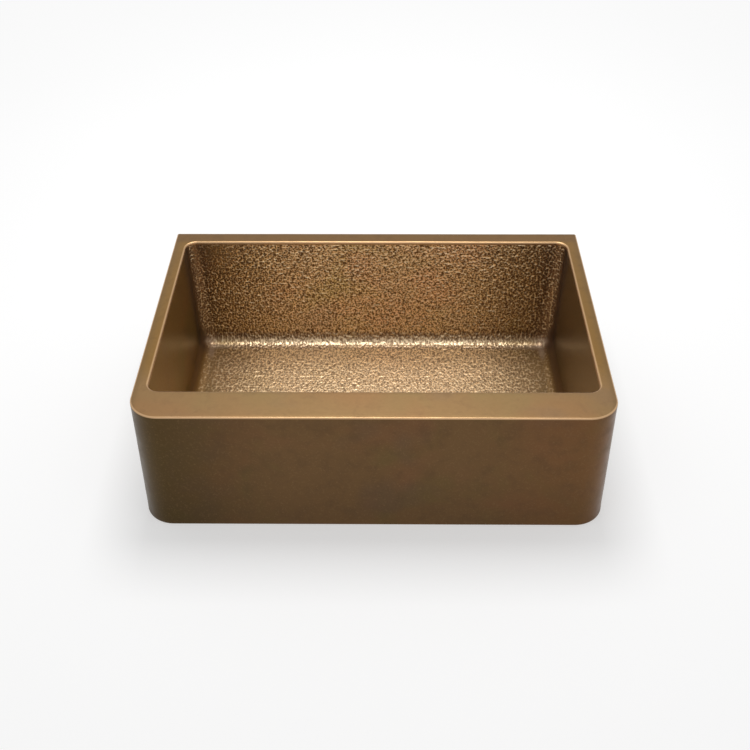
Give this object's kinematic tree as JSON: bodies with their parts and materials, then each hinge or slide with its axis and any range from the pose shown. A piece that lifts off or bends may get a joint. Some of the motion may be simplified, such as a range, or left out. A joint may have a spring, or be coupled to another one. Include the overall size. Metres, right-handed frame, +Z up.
{
  "type": "farmhouse apron front sink",
  "caption": "Single-bowl farmhouse sink in antique copper with a smooth wrapped apron, flat rim, hammered bowl and a lift-out basket strainer.",
  "frame": {"origin": "on the drain's axis, at the middle of the footprint, level with the apron's underside, where the cabinet's deck is", "axes": "+X to the right seen from the front, +Y back towards the wall, +Z up"},
  "size_m": [0.762, 0.548, 0.3044],
  "materials": {
    "copper_sheet": "antique copper patina, smooth outside and hammered inside",
    "drain_bronze": "satin antique bronze",
    "nut_brass": "cast brass",
    "black_rubber": "matte moulded",
    "putty": "set plumber's putty",
    "fibre": "pressed fibre",
    "bush_plastic": "moulded",
    "spring_steel": "bright"
  },
  "bodies": {
    "sink": {"rim_deck": "copper_sheet", "bowl_floor_pan": "copper_sheet", "bowl_front_panel": "copper_sheet", "bowl_back_panel": "copper_sheet", "bowl_left_panel": "copper_sheet", "bowl_right_panel": "copper_sheet", "apron_panel": "copper_sheet", "apron_base_strip": "copper_sheet", "saddle_plate": "copper_sheet", "apron_gussets": "copper_sheet", "left_lip": "copper_sheet", "right_lip": "copper_sheet", "back_lip": "copper_sheet", "strainer_body": "drain_bronze", "lock_nut": "nut_brass", "putty_seal": "putty", "rubber_gasket": "black_rubber", "friction_ring": "fibre"},
    "basket": {"basket_cup": "drain_bronze", "basket_bush": "bush_plastic"},
    "stopper": {"lift_post": "drain_bronze", "stopper_disc": "black_rubber", "stopper_washer": "drain_bronze", "stopper_clip": "spring_steel", "lift_knob": "drain_bronze"}
  },
  "joints": [
    {"name": "basket_lift", "type": "slide", "parent": "sink", "child": "basket", "axis": [0, 0, 1], "range_m": [0, 0.285]},
    {"name": "stopper_lift", "type": "slide", "parent": "basket", "child": "stopper", "axis": [0, 0, 1], "range_m": [0, 0.008]}
  ]
}
